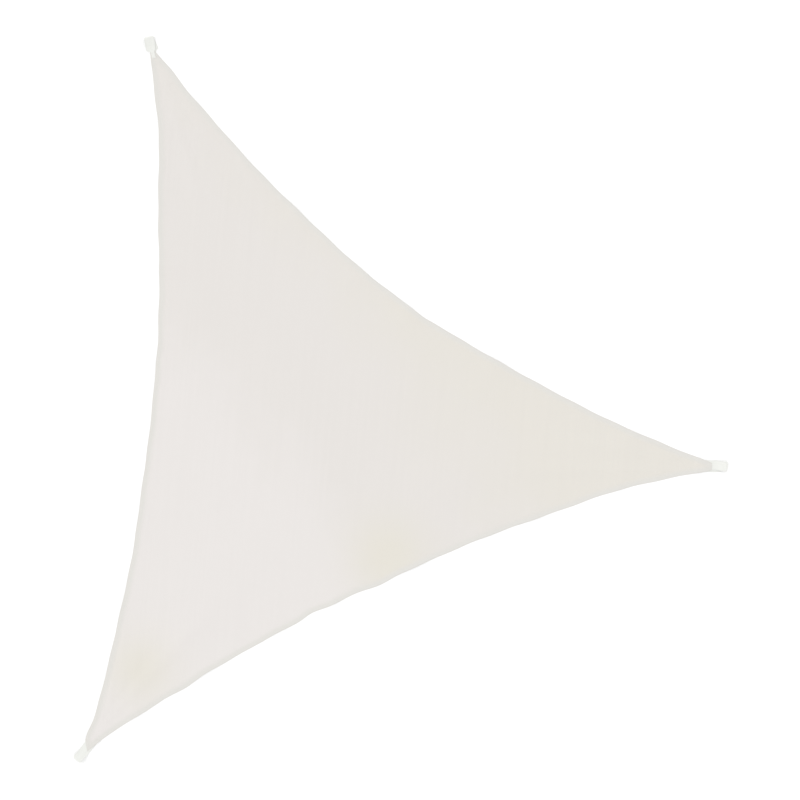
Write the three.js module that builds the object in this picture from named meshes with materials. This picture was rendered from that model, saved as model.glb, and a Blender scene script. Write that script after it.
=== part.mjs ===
// A triangular shade sail, 3.6 m from loop end to loop end along each side, lying flat with its face up.
// Millimetres, +Z up. The origin is on the ground, in the middle of the box round the sail.
// Three tips, left, right and top, run anticlockwise. Each side between two of them is cut hollow.
import * as THREE from "three";

// distances between the middles of the cut-off tips
const span = { leftRight: 3421, rightTop: 3466, topLeft: 3484 };

// cloth: one layer in the field, two where the hem is turned over and at the tips
const clothThickness = 1.5;
const hemThickness = 2 * clothThickness;
const hemWidth = 34;
const foldStep = 1;
const tipReach = 170;
const hemRings = 5;
const stepsPerSide = 64;
// share by which the steps along a side are drawn towards its two tips
const tipCrowding = 0.08;

// webbing loops: a strap folded back on itself, both ends sewn to the tip
const webbing = { width: 50, thickness: 2 };
const loopHeight = 16;
const noseSteps = 7;
const slopeSteps = 9;
// below 1 the strap's upper run climbs sooner from where the two ends are sewn
const slopeShape = 0.6;
const gap = 0.3;

// the cloth lies at full height over the strap ends and comes down to the ground before the hem's inner line
const liftPlateau = 80;
const liftEnd = 165;

// tilt: degrees the loop is turned from the tip's own middle line; shift: millimetres to its left;
// reach: from the tip to the loop's outer end; lower, upper: the two sewn ends, under or over the cloth
const corners = {
  left: {
    tilt: -4.7,
    shift: 0,
    reach: 79,
    lower: { length: 60, width: 50 },
    upper: { length: 56, width: 50, over: false },
  },
  right: {
    tilt: 3.3,
    shift: 2,
    reach: 77,
    lower: { length: 66, width: 50 },
    upper: { length: 62, width: 50, over: false },
  },
  top: {
    tilt: -9.5,
    shift: 2,
    reach: 82,
    lower: { length: 52, width: 24 },
    upper: { length: 28, width: 18, over: true },
  },
};

// rise: how deep a side is cut at its middle; fullness: 2 is a parabola, less is nearer to a V;
// startHalf, endHalf: half the width left at the tips;
// startCut, endCut: how far short of the tips the cloth is cut; phase: of the uneven edge
const sides = [
  {
    from: "left",
    to: "right",
    rise: 163,
    fullness: 2.2,
    startHalf: 20,
    endHalf: 6,
    startCut: 0,
    endCut: 8,
    phase: 0.4,
  },
  {
    from: "right",
    to: "top",
    rise: 268,
    fullness: 1.7,
    startHalf: 15,
    endHalf: 9,
    startCut: 12,
    endCut: 0,
    phase: 2.1,
  },
  {
    from: "top",
    to: "left",
    rise: 171,
    fullness: 2.0,
    startHalf: 16,
    endHalf: 6,
    startCut: 0,
    endCut: 38,
    phase: 4.0,
  },
];

// where a hem pulls in (depth above 0) or stands out; at and reach are shares of the side
const pulls = [
  { side: 0, at: 0.04, reach: 0.02, depth: 6 },
  { side: 0, at: 0.17, reach: 0.018, depth: -8 },
  { side: 0, at: 0.25, reach: 0.03, depth: -5 },
  { side: 0, at: 0.38, reach: 0.012, depth: 9 },
  { side: 0, at: 0.49, reach: 0.018, depth: -10 },
  { side: 0, at: 0.86, reach: 0.035, depth: 6 },
  { side: 0, at: 1.0, reach: 0.032, depth: -12 },
  { side: 1, at: 0.0, reach: 0.02, depth: -5 },
  { side: 1, at: 0.12, reach: 0.04, depth: 4 },
  { side: 1, at: 0.36, reach: 0.05, depth: -5 },
  { side: 1, at: 0.46, reach: 0.012, depth: 8 },
  { side: 1, at: 0.97, reach: 0.018, depth: -9 },
  { side: 2, at: 0.11, reach: 0.03, depth: 7 },
  { side: 2, at: 0.25, reach: 0.045, depth: -7 },
  { side: 2, at: 0.42, reach: 0.03, depth: 7 },
  { side: 2, at: 0.75, reach: 0.06, depth: 3 },
  { side: 2, at: 0.98, reach: 0.012, depth: -11 },
];

// the small unevenness of a gathered hem, as two waves along each side
const edgeWaves = [
  { length: 690, depth: 1.6 },
  { length: 214, depth: 1.3 },
];

const clothMaterial = new THREE.MeshStandardMaterial({ color: 0xe9e5e1, roughness: 0.9, metalness: 0 });
const webbingMaterial = new THREE.MeshStandardMaterial({ color: 0xf2f3ee, roughness: 0.7, metalness: 0 });

// ---- the three tips, from the distances between them

function tipPoints() {
  const across = (span.topLeft ** 2 + span.leftRight ** 2 - span.rightTop ** 2) / (2 * span.leftRight);
  return {
    left: new THREE.Vector2(0, 0),
    right: new THREE.Vector2(span.leftRight, 0),
    top: new THREE.Vector2(across, Math.sqrt(span.topLeft ** 2 - across ** 2)),
  };
}

const tips = tipPoints();
const middle = tips.left.clone().add(tips.right).add(tips.top).divideScalar(3);

// ---- the cloth's outline

function edgeOffset(index, t) {
  const side = sides[index];
  const length = tips[side.from].distanceTo(tips[side.to]);
  let inward = side.rise * (1 - Math.abs(2 * t - 1) ** side.fullness);
  inward -= side.startHalf * (1 - t) + side.endHalf * t;
  for (const pull of pulls) {
    if (pull.side === index) {
      inward += pull.depth * Math.exp(-(((t - pull.at) / pull.reach) ** 2) / 2);
    }
  }
  for (const wave of edgeWaves) {
    inward += wave.depth * Math.sin((2 * Math.PI * t * length) / wave.length + side.phase);
  }
  return inward;
}

// a point of one side, moved further in by extra
function sidePoint(index, t, extra) {
  const side = sides[index];
  const along = tips[side.to].clone().sub(tips[side.from]);
  const inward = new THREE.Vector2(-along.y, along.x).normalize();
  const depth = edgeOffset(index, t) + extra;
  return tips[side.from].clone().addScaledVector(along, t).addScaledVector(inward, depth);
}

// the hem's inner line stops short of the tips, so the whole tip is doubled cloth
function outlineRing(inset) {
  const ring = [];
  sides.forEach((side, index) => {
    const length = tips[side.from].distanceTo(tips[side.to]);
    const within = tipReach + inset - hemWidth;
    const first = (inset > 0 ? within : side.startCut) / length;
    const last = 1 - (inset > 0 ? within : side.endCut) / length;
    for (let k = 0; k <= stepsPerSide; k += 1) {
      const u = k / stepsPerSide;
      const crowded = u - tipCrowding * Math.sin(2 * Math.PI * u);
      ring.push(sidePoint(index, THREE.MathUtils.lerp(first, last, crowded), inset));
    }
  });
  return ring;
}

// how high a tip's cloth lies over the strap ends beneath it
function clothLift(point) {
  let lift = 0;
  for (const [name, corner] of Object.entries(corners)) {
    const layers = corner.upper.over ? 1 : 2;
    const height = layers * (webbing.thickness + gap);
    const away = THREE.MathUtils.smoothstep(point.distanceTo(tips[name]), liftPlateau, liftEnd);
    lift = Math.max(lift, height * (1 - away));
  }
  return lift;
}

function raised(ring, height) {
  return ring.map((point) => new THREE.Vector3(point.x, point.y, clothLift(point) + height));
}

// ---- solids from rings of points

// rings run from the top's middle outwards and back in below; a fan closes each end
function solidFromRings(rings, first, last) {
  const points = [first, ...rings.flat(), last];
  const count = rings[0].length;
  const at = (ring, k) => 1 + ring * count + (k % count);
  const faces = [];
  for (let k = 0; k < count; k += 1) {
    faces.push(0, at(0, k), at(0, k + 1));
    faces.push(points.length - 1, at(rings.length - 1, k + 1), at(rings.length - 1, k));
    for (let ring = 0; ring + 1 < rings.length; ring += 1) {
      faces.push(at(ring, k), at(ring + 1, k), at(ring + 1, k + 1));
      faces.push(at(ring, k), at(ring + 1, k + 1), at(ring, k + 1));
    }
  }
  const geometry = new THREE.BufferGeometry().setFromPoints(points);
  geometry.setIndex(faces);
  geometry.computeVertexNormals();
  return geometry;
}

function namedMesh(name, geometry, material) {
  const mesh = new THREE.Mesh(geometry, material);
  mesh.name = name;
  return mesh;
}

// ---- the sail cloth, with its turned hem

function sailCloth() {
  const outer = outlineRing(0);
  const hemLine = outlineRing(hemWidth);
  const field = outlineRing(hemWidth + foldStep);
  const between = (share) => outer.map((point, k) => point.clone().lerp(hemLine[k], share));
  const rings = [raised(field, clothThickness)];
  for (let ring = hemRings; ring >= 0; ring -= 1) {
    rings.push(raised(between(ring / hemRings), hemThickness));
  }
  for (let ring = 0; ring <= hemRings; ring += 1) {
    rings.push(raised(between(ring / hemRings), 0));
  }
  const top = new THREE.Vector3(middle.x, middle.y, clothThickness);
  const under = new THREE.Vector3(middle.x, middle.y, 0);
  return namedMesh("sail_cloth", solidFromRings(rings, top, under), clothMaterial);
}

// ---- the webbing loops

// heights of the strap's middle on its lower run and on its upper sewn end
function runHeights(corner) {
  const low = webbing.thickness / 2;
  const cloth = corner.upper.over ? hemThickness + gap : 0;
  return { low, high: low + webbing.thickness + gap + cloth };
}

// the strap's middle line from its lower sewn end, round the nose and back: along is outward from the tip
function loopStations(corner) {
  const { low, high } = runHeights(corner);
  const radius = loopHeight / 2 - low;
  const noseAlong = corner.reach - radius - low;
  const mouth = 12;
  const neck = 6;
  const crown = low + 2 * radius;
  const stations = [
    { along: -corner.lower.length, up: low, width: corner.lower.width },
    { along: neck, up: low, width: corner.lower.width },
    { along: mouth, up: low, width: webbing.width },
  ];
  for (let k = 0; k <= noseSteps; k += 1) {
    const turn = (Math.PI * k) / noseSteps - Math.PI / 2;
    stations.push({
      along: noseAlong + radius * Math.cos(turn),
      up: low + radius + radius * Math.sin(turn),
      width: webbing.width,
    });
  }
  for (let k = 1; k <= slopeSteps; k += 1) {
    const share = k / slopeSteps;
    stations.push({
      along: THREE.MathUtils.lerp(noseAlong, mouth, share),
      up: THREE.MathUtils.lerp(high, crown, THREE.MathUtils.smoothstep((1 - share) ** slopeShape, 0, 1)),
      width: webbing.width,
    });
  }
  stations.push({ along: neck, up: high, width: corner.upper.width });
  stations.push({ along: -corner.upper.length, up: high, width: corner.upper.width });
  return stations;
}

// four points round the strap at each station, the outer face first
function strapRings(stations) {
  return stations.map((station, k) => {
    const before = stations[Math.max(k - 1, 0)];
    const after = stations[Math.min(k + 1, stations.length - 1)];
    const entry = new THREE.Vector2(station.along - before.along, station.up - before.up).normalize();
    const leave = new THREE.Vector2(after.along - station.along, after.up - station.up).normalize();
    const run = entry.add(leave).normalize();
    const half = webbing.thickness / 2;
    // the mitre keeps the strap at its full thickness through a bend
    const mitre = k > 0 && k < stations.length - 1 ? half / Math.max(run.dot(leave), 0.5) : half;
    const outer = new THREE.Vector2(run.y, -run.x).multiplyScalar(mitre);
    const side = station.width / 2;
    return [
      new THREE.Vector3(station.along + outer.x, side, station.up + outer.y),
      new THREE.Vector3(station.along + outer.x, -side, station.up + outer.y),
      new THREE.Vector3(station.along - outer.x, -side, station.up - outer.y),
      new THREE.Vector3(station.along - outer.x, side, station.up - outer.y),
    ];
  });
}

function ringMiddle(ring) {
  return ring.reduce((sum, point) => sum.add(point), new THREE.Vector3()).divideScalar(ring.length);
}

// the line that halves a tip, pointing away from the sail
function tipDirection(name) {
  const inward = new THREE.Vector2();
  for (const other of Object.keys(tips)) {
    if (other !== name) {
      inward.add(tips[other].clone().sub(tips[name]).normalize());
    }
  }
  return inward.negate().angle();
}

function cornerLoop(name) {
  const corner = corners[name];
  const rings = strapRings(loopStations(corner));
  const geometry = solidFromRings(rings, ringMiddle(rings[0]), ringMiddle(rings[rings.length - 1]));
  geometry.translate(0, corner.shift, 0);
  const loop = namedMesh(`loop_${name}`, geometry, webbingMaterial);
  loop.rotation.z = tipDirection(name) + THREE.MathUtils.degToRad(corner.tilt);
  loop.position.set(tips[name].x, tips[name].y, 0);
  return loop;
}

// ---- the whole sail, centred over its origin

const sail = new THREE.Group();
sail.add(sailCloth());
for (const name of Object.keys(corners)) {
  sail.add(cornerLoop(name));
}
sail.updateMatrixWorld(true);
const box = new THREE.Box3().setFromObject(sail, true);
sail.position.set(-(box.min.x + box.max.x) / 2, -(box.min.y + box.max.y) / 2, 0);

export default sail;
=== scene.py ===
# A triangular shade sail of pale knitted cloth, lying face up, with a webbing loop sewn to each tip.
# The tables are in millimetres, in the plan of the sail, where its left tip is the corner; the meshes are
# in metres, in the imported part's frame.
import math

import bpy
import numpy as np
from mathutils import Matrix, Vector
from mathutils.bvhtree import BVHTree
from mathutils.geometry import delaunay_2d_cdt


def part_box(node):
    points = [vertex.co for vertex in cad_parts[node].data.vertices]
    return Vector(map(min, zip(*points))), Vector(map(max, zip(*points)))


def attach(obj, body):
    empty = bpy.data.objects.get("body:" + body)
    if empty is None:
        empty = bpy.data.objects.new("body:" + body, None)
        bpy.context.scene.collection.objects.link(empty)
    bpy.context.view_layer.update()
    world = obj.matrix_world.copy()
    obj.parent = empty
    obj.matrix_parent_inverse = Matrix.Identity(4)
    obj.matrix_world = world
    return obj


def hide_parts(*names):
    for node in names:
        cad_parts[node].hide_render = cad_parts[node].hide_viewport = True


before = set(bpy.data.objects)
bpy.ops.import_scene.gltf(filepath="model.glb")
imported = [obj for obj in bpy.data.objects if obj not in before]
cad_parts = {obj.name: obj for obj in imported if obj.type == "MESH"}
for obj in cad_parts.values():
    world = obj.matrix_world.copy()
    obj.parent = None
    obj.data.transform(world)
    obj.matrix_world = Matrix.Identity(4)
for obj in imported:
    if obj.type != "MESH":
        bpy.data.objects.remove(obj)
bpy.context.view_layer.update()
mm = 0.001

# where the eye stands: straight above the sail, turned so that its left tip points down and left
view = {
    "lens": 100,
    "sensor": 36,
    "fieldWidth": 3988.8,
    "centre": (428.3, -586.0),
    "turn": -24.22,
    "farthest": 500,
}

# a bright overcast sky with one broad, weak sun, over a white base that glows a little itself
lighting = {
    "skyLow": 1.01,
    "skyHigh": 0.91,
    "sunStrength": 0.42,
    "sunAngle": 50,
    "sunHeight": 44,
    "sunFrom": 128,
    "sunAway": 5,
    "floor": "#f7f7f7",
    "floorGlow": 0.13,
    "floorSide": 160,
    "floorDrop": 0.0003,
}


# sRGB hex value to linear colour
def linear(hexColour):
    parts = [int(hexColour[k : k + 2], 16) / 255 for k in (1, 3, 5)]
    return (*[c / 12.92 if c <= 0.04045 else ((c + 0.055) / 1.055) ** 2.4 for c in parts], 1)


# one node with its settings, the values of its sockets and the links into them
def addNode(tree, kind, values=None, links=None, **settings):
    node = tree.nodes.new(kind)
    for name, value in settings.items():
        setattr(node, name, value)
    for socket, value in (values or {}).items():
        node.inputs[socket].default_value = value
    for socket, source in (links or {}).items():
        tree.links.new(source, node.inputs[socket])
    return node


def emptyMaterial(name):
    material = bpy.data.materials.new(name)
    material.use_nodes = True
    material.node_tree.nodes.clear()
    return material, material.node_tree


# a share that rises softly from 0 at low to 1 at high
def smooth(values, low=0.0, high=1.0):
    share = np.clip((np.asarray(values, float) - low) / (high - low), 0, 1)
    return share * share * (3 - 2 * share)


def meshObject(name, vertices, faces, material):
    mesh = bpy.data.meshes.new(name)
    mesh.from_pydata([tuple(v) for v in vertices], [], faces)
    mesh.polygons.foreach_set("use_smooth", [True] * len(mesh.polygons))
    mesh.materials.append(material)
    mesh.update()
    piece = bpy.data.objects.new(name, mesh)
    bpy.context.collection.objects.link(piece)
    return piece


# the distances between the tips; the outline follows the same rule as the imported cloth
span = {"leftRight": 3421, "rightTop": 3466, "topLeft": 3484}

# rise: how deep a side is cut at its middle; fullness: 2 is a parabola, less is nearer to a V;
# startHalf, endHalf: half the width left at the tips; startCut, endCut: how far short of them the cloth
# is cut; phase: where the waves of its edge start
sides = [
    {"ends": ("left", "right"), "rise": 163, "fullness": 2.2, "startHalf": 20, "endHalf": 6,
     "startCut": 0, "endCut": 8, "phase": 0.4},
    {"ends": ("right", "top"), "rise": 268, "fullness": 1.7, "startHalf": 15, "endHalf": 9,
     "startCut": 12, "endCut": 0, "phase": 2.1},
    {"ends": ("top", "left"), "rise": 171, "fullness": 2.0, "startHalf": 16, "endHalf": 6,
     "startCut": 0, "endCut": 38, "phase": 4.0},
]

# where a hem pulls in (depth above 0) or stands out: side, place and reach as shares of the side, depth
pulls = [
    (0, 0.04, 0.020, 6), (0, 0.17, 0.018, -8), (0, 0.25, 0.030, -5), (0, 0.38, 0.012, 9),
    (0, 0.49, 0.018, -10), (0, 0.86, 0.035, 6), (0, 1.00, 0.032, -12),
    (1, 0.00, 0.020, -5), (1, 0.12, 0.040, 4), (1, 0.36, 0.050, -5), (1, 0.46, 0.012, 8),
    (1, 0.97, 0.018, -9),
    (2, 0.11, 0.030, 7), (2, 0.25, 0.045, -7), (2, 0.42, 0.030, 7), (2, 0.75, 0.060, 3),
    (2, 0.98, 0.012, -11),
]

# slow waves of every edge: length, depth
edgeWaves = [(690, 1.6), (214, 1.3)]

# how far along the side from left to right the top tip stands
topAlong = (span["topLeft"] ** 2 + span["leftRight"] ** 2 - span["rightTop"] ** 2) / (2 * span["leftRight"])
tips = {
    "left": np.array([0.0, 0.0]),
    "right": np.array([float(span["leftRight"]), 0.0]),
    "top": np.array([topAlong, math.sqrt(span["topLeft"] ** 2 - topAlong**2)]),
}

# how wide the cloth is turned over along the sides and how far in at the tips, the steps of its rings,
# and how far inside the outline the middle of the rolled fold lies
hem = {"width": 34, "tipReach": 170, "station": 10, "foldInset": 1.4}


def sideLength(index):
    start, end = sides[index]["ends"]
    return float(np.linalg.norm(tips[end] - tips[start]))


# how far in from the straight line between its tips a side lies, at shares t of it
def edgeOffset(index, t):
    side = sides[index]
    inward = side["rise"] * (1 - np.abs(2 * t - 1) ** side["fullness"])
    inward = inward - side["startHalf"] * (1 - t) - side["endHalf"] * t
    for owner, place, reach, depth in pulls:
        if owner == index:
            inward = inward + depth * np.exp(-(((t - place) / reach) ** 2) / 2)
    for length, depth in edgeWaves:
        inward = inward + depth * np.sin(2 * math.pi * t * sideLength(index) / length + side["phase"])
    return inward


# points of one side in the plan, moved further in by extra
def sidePoints(index, t, extra):
    start, end = (tips[name] for name in sides[index]["ends"])
    along = end - start
    inward = np.array([-along[1], along[0]]) / np.linalg.norm(along)
    return start + np.outer(t, along) + np.outer(edgeOffset(index, t) + extra, inward)


# where a side starts and ends, as shares of it; inside the fold it stops short of the tips
def runEnds(index, inset):
    within = hem["tipReach"] + inset - hem["width"]
    atStart = within if inset > hem["foldInset"] else sides[index]["startCut"]
    atEnd = within if inset > hem["foldInset"] else sides[index]["endCut"]
    return atStart / sideLength(index), 1 - atEnd / sideLength(index)


# a closed ring round the sail, straight across each tip
def ringAt(inset, step):
    runs = []
    for index in range(len(sides)):
        first, last = runEnds(index, inset)
        steps = round((last - first) * sideLength(index) / step)
        runs.append(sidePoints(index, np.linspace(first, last, steps + 1), inset))
    ring = []
    for k, run in enumerate(runs):
        crossing = runs[(k + 1) % len(runs)][0] - run[-1]
        pieces = max(1, round(np.linalg.norm(crossing) / step))
        ring.append(run)
        ring.append(run[-1] + np.outer(np.arange(1, pieces) / pieces, crossing))
    return np.vstack(ring)


# the plan's own corner is the left tip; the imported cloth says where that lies
placing = np.array(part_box("sail_cloth")[0][:2]) / mm - ringAt(0, hem["station"]).min(axis=0)


# the direction that halves a tip, pointing away from the sail, in radians
def tipDirection(name):
    runs = [tips[other] - tips[name] for other in tips if other != name]
    inward = sum(run / np.linalg.norm(run) for run in runs)
    return math.atan2(-inward[1], -inward[0])


# the straps. tilt: degrees off the tip's middle line; shift: to its left; reach: from the tip to the bend;
# lower, upper: how far in an end is sewn, and its width there; over: the upper end lies on the cloth, not
# beneath it; skew, round: how askew and how round the bend is; leans: how far the middle lies to the left,
# where it is sewn and where it is free; roll: how far the upper run's left edge is rolled down;
# creases: place across, start and end along, half width, depth
loops = {
    "left": {
        "tilt": -4.7, "shift": 0, "reach": 79, "lower": (60, 50), "upper": (56, 50), "over": False,
        "skew": -0.05, "lowerLean": (2, 2), "upperLean": (1, 3), "noseLean": 2, "roll": -1, "round": 12,
        "creases": [(-12, 10, 46, 4.5, 0.5), (7, 26, 66, 5.0, -0.5), (17, 8, 34, 4.0, 0.45)],
    },
    "right": {
        "tilt": 3.3, "shift": 3, "reach": 77, "lower": (66, 50), "upper": (62, 50), "over": False,
        "skew": 0.02, "lowerLean": (-6, -6), "upperLean": (3, 5), "noseLean": 0, "roll": -2, "round": 4,
        "creases": [(-16, 6, 44, 3.5, -0.6), (2, 20, 60, 6.0, 0.5), (15, 4, 30, 4.0, 0.4)],
    },
    "top": {
        "tilt": -9.5, "shift": 2, "reach": 82, "lower": (52, 24), "upper": (28, 18), "over": True,
        "skew": -0.06, "lowerLean": (-3, -5.5), "upperLean": (2, 7), "noseLean": 2, "roll": -6.5,
        "round": 5,
        "creases": [
            (-15, 4, 70, 3.5, -0.9), (3, 4, 46, 4.5, -0.8), (11, 4, 30, 3.5, 0.8), (-6, 4, 34, 4.0, 0.7),
        ],
    },
}

# the webbing itself, the gap between two layers of what is sewn together, and how high a loop stands
webbing = {"width": 50, "thickness": 2, "gap": 0.3, "loopHeight": 16}


# a strap's frame: where it starts in the plan, its direction outward and the direction to its left
def cornerFrame(name):
    corner = loops[name]
    angle = tipDirection(name) + math.radians(corner["tilt"])
    outward = np.array([math.cos(angle), math.sin(angle)])
    leftward = np.array([-outward[1], outward[0]])
    return tips[name] + corner["shift"] * leftward, outward, leftward


# plan points as distance outward from a tip and distance to the left of its strap's middle
def inCorner(name, points):
    origin, outward, leftward = cornerFrame(name)
    return (points - origin) @ outward, (points - origin) @ leftward


def fromCorner(name, along, sideways):
    origin, outward, leftward = cornerFrame(name)
    return origin + np.outer(along, outward) + np.outer(sideways, leftward)


# how wide the slope is where the cloth comes down round a strap, and how far off its edge that starts
drape = {"fall": 30, "edge": 2}


# the cloth drapes over the strap ends beneath it and comes down to the ground round them
def strapLift(points):
    lift = np.zeros(len(points))
    for name, corner in loops.items():
        along, sideways = inCorner(name, points)
        endsBeneath = 1 if corner["over"] else 2
        length, width = corner["lower"]
        pastEnd = np.maximum(-length - along, 0)
        pastEdge = np.maximum(np.abs(sideways) - width / 2 - drape["edge"], 0)
        height = endsBeneath * (webbing["thickness"] + webbing["gap"])
        lift = np.maximum(lift, height * (1 - smooth(np.hypot(pastEnd, pastEdge), 0, drape["fall"])))
    return lift


# broad soft swells where the cloth stands off the ground: place, half sizes, turn in degrees, height
swells = [
    ((1010, 520), (430, 230), 18, 6.5),
    ((2240, 470), (470, 190), -9, 5.0),
    ((1620, 1120), (300, 420), 12, 7.5),
    ((1290, 1730), (160, 480), -27, 5.5),
    ((2080, 1560), (190, 420), 34, 4.5),
    ((640, 300), (320, 120), 31, 3.5),
    ((1700, 2230), (110, 330), 3, 3.5),
    ((2830, 330), (330, 100), -14, 3.5),
    ((1500, 640), (210, 150), 60, 3.0),
]

# long ridges that run in from the tips: tip, degrees off its middle line, start, end, spread at the end,
# height
ridges = [
    ("left", -7.0, 95, 1180, 52, 4.6),
    ("left", 5.5, 120, 820, 42, 3.4),
    ("left", 12.0, 170, 640, 30, 2.2),
    ("right", -5.5, 100, 960, 44, 3.8),
    ("right", 6.5, 120, 1260, 54, 4.4),
    ("right", -12.5, 190, 600, 28, 2.0),
    ("top", -6.5, 90, 1160, 48, 4.4),
    ("top", 4.0, 130, 860, 44, 3.6),
    ("top", 11.5, 160, 620, 28, 2.3),
]

# where a hem stands up in a soft wave that dies out inward: side, place as a share of it,
# half its width along the hem, reach inward, height, and how far it leans along the side on its way in
ripples = [
    (0, 0.09, 46, 150, 2.6, 0.25), (0, 0.21, 70, 210, 3.6, -0.20), (0, 0.33, 52, 170, 2.4, 0.35),
    (0, 0.42, 38, 130, 3.0, 0.10), (0, 0.55, 88, 240, 4.2, -0.30), (0, 0.66, 44, 150, 2.2, 0.20),
    (0, 0.74, 60, 190, 3.2, -0.15), (0, 0.87, 50, 140, 2.4, 0.30),
    (1, 0.12, 58, 170, 2.8, 0.20), (1, 0.25, 40, 140, 2.2, -0.35), (1, 0.34, 92, 250, 4.4, 0.15),
    (1, 0.49, 54, 180, 3.2, -0.10), (1, 0.57, 36, 120, 2.0, 0.40), (1, 0.70, 76, 220, 3.8, 0.20),
    (1, 0.81, 44, 150, 2.6, -0.25), (1, 0.92, 40, 120, 2.0, 0.15),
    (2, 0.10, 42, 130, 2.2, -0.20), (2, 0.19, 66, 200, 3.4, 0.30), (2, 0.31, 48, 150, 2.6, -0.10),
    (2, 0.45, 84, 230, 4.0, 0.25), (2, 0.53, 40, 140, 2.4, -0.30), (2, 0.65, 58, 180, 3.0, 0.10),
    (2, 0.78, 72, 200, 3.4, -0.20), (2, 0.90, 46, 130, 2.4, 0.25),
]

# small puckers that the stitching draws up beside the hem. pitch: from crest to crest; drift: slow shifts
# of the crests (length, radians); usual, varies: shares of the height; uneven, unevenShort: over what
# lengths it varies; reach: into the field; inHem: the share that is left in the hem, and hemStep: how far
# before and after its inner edge that changes
puckers = {
    "pitch": 63,
    "drift": ((431, 1.9), (173, 1.1)),
    "height": 1.5,
    "usual": 0.55,
    "varies": 0.45,
    "uneven": 877,
    "unevenStart": 0.8,
    "unevenShort": 97,
    "reach": 60,
    "inHem": 0.35,
    "hemStep": (10, 12),
}

# how fast a swell falls off, the shape of a ridge, and between which distances from a tip or from the edge
# the relief comes up, because the doubled and sewn cloth lies flatter
reliefShape = {
    "swellFall": 1.6,
    "ridgeStart": 7,
    "ridgeBend": 0.35,
    "ridgeWinding": 2.6,
    "ridgePeak": 0.7,
    "ridgeSlope": 1.5,
    "fromTip": (130, 320),
    "ridgeFromTip": (80, 170),
    "fromEdge": (10, 220),
}


def swellHeight(points):
    height = np.zeros(len(points))
    for centre, halves, turn, rise in swells:
        angle = math.radians(turn)
        away = points - np.array(centre, float)
        u = (away[:, 0] * math.cos(angle) + away[:, 1] * math.sin(angle)) / halves[0]
        v = (away[:, 1] * math.cos(angle) - away[:, 0] * math.sin(angle)) / halves[1]
        height += rise * np.exp(-reliefShape["swellFall"] * (u * u + v * v))
    return height


def ridgeHeight(points):
    height = np.zeros(len(points))
    for name, offLine, start, end, spread, rise in ridges:
        angle = tipDirection(name) + math.pi + math.radians(offLine)
        direction = np.array([math.cos(angle), math.sin(angle)])
        away = points - tips[name]
        along = away @ direction
        sideways = away @ np.array([-direction[1], direction[0]])
        share = np.clip((along - start) / (end - start), 0, 1)
        width = reliefShape["ridgeStart"] + (spread - reliefShape["ridgeStart"]) * share
        # a slow bend keeps the ridge from lying dead straight
        bend = reliefShape["ridgeBend"] * spread * np.sin(reliefShape["ridgeWinding"] * share + start)
        crest = rise * np.sin(math.pi * share ** reliefShape["ridgePeak"]) ** reliefShape["ridgeSlope"]
        height += crest * np.exp(-(((sideways - bend) / width) ** 2))
    return height


def rippleHeight(distance, arc):
    height = np.zeros(len(distance))
    for index, share, half, reach, rise, lean in ripples:
        centre = arcLengths[ownRun(index)[0]] + share * sideLength(index) + lean * distance
        # the sail's first side starts where its last one ends, so places are compared round the sail
        apart = (arc - centre + arcLengths[-1] / 2) % arcLengths[-1] - arcLengths[-1] / 2
        height += rise * np.exp(-((apart / half) ** 2) - (distance / reach) ** 2)
    return height


def puckerHeight(distance, arc):
    phase = 2 * math.pi * arc / puckers["pitch"]
    for length, depth in puckers["drift"]:
        phase = phase + depth * np.sin(2 * math.pi * arc / length + depth)
    slow = np.sin(2 * math.pi * arc / puckers["uneven"] + puckers["unevenStart"])
    strength = puckers["usual"] + puckers["varies"] * slow * np.sin(arc / puckers["unevenShort"])
    field = np.exp(-np.maximum(distance - hem["width"], 0) / puckers["reach"])
    before, after = puckers["hemStep"]
    outOfHem = smooth(distance, hem["width"] - before, hem["width"] + after)
    band = puckers["inHem"] + (1 - puckers["inHem"]) * outOfHem
    return puckers["height"] * strength * (0.5 + 0.5 * np.cos(phase)) * field * band


def fromNearestTip(points):
    return np.min([np.linalg.norm(points - tip, axis=1) for tip in tips.values()], axis=0)


def clothRelief(points, distance, arc):
    toTip = fromNearestTip(points)
    free = smooth(toTip, *reliefShape["fromTip"])
    return (
        strapLift(points)
        + swellHeight(points) * free * smooth(distance, *reliefShape["fromEdge"])
        + ridgeHeight(points) * smooth(toTip, *reliefShape["ridgeFromTip"])
        + (rippleHeight(distance, arc) + puckerHeight(distance, arc)) * free
    )


# how far along a line each of its points lies
def travelledAlong(line):
    return np.concatenate([[0], np.cumsum(np.linalg.norm(np.diff(line, axis=0), axis=1))])


# the fold is rolled, so its middle line lies a little inside the outline
outline = ringAt(hem["foldInset"], hem["station"])
hemLine = ringAt(hem["width"], hem["station"])
arcLengths = travelledAlong(outline)


# the middle of a ring where it crosses the tip at the end of a side
def tipMiddle(index, inset):
    following = (index + 1) % len(sides)
    last = sidePoints(index, np.array([runEnds(index, inset)[1]]), inset)
    first = sidePoints(following, np.array([runEnds(following, inset)[0]]), inset)
    return ((last + first) / 2)[0]


def nearestPoint(ring, place):
    return int(((ring - place) ** 2).sum(axis=1).argmin())


# at each tip the turned-over cloth of two sides meets on a mitre, between a point of each ring
def mitreEnds(index):
    inner = nearestPoint(hemLine, tipMiddle(index, hem["width"]))
    outer = nearestPoint(outline, tipMiddle(index, hem["foldInset"]))
    return inner, outer


mitres = [mitreEnds(index) for index in range(len(sides))]


# the steps of the outline along a side, without the short straight ends at the tips
def ownRun(index):
    ends = sidePoints(index, np.array(runEnds(index, hem["foldInset"])), hem["foldInset"])
    first, last = (nearestPoint(outline, end) for end in ends)
    return np.arange(first, last)


blockSize = 2000  # points that are measured at a time, to spare memory


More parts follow.
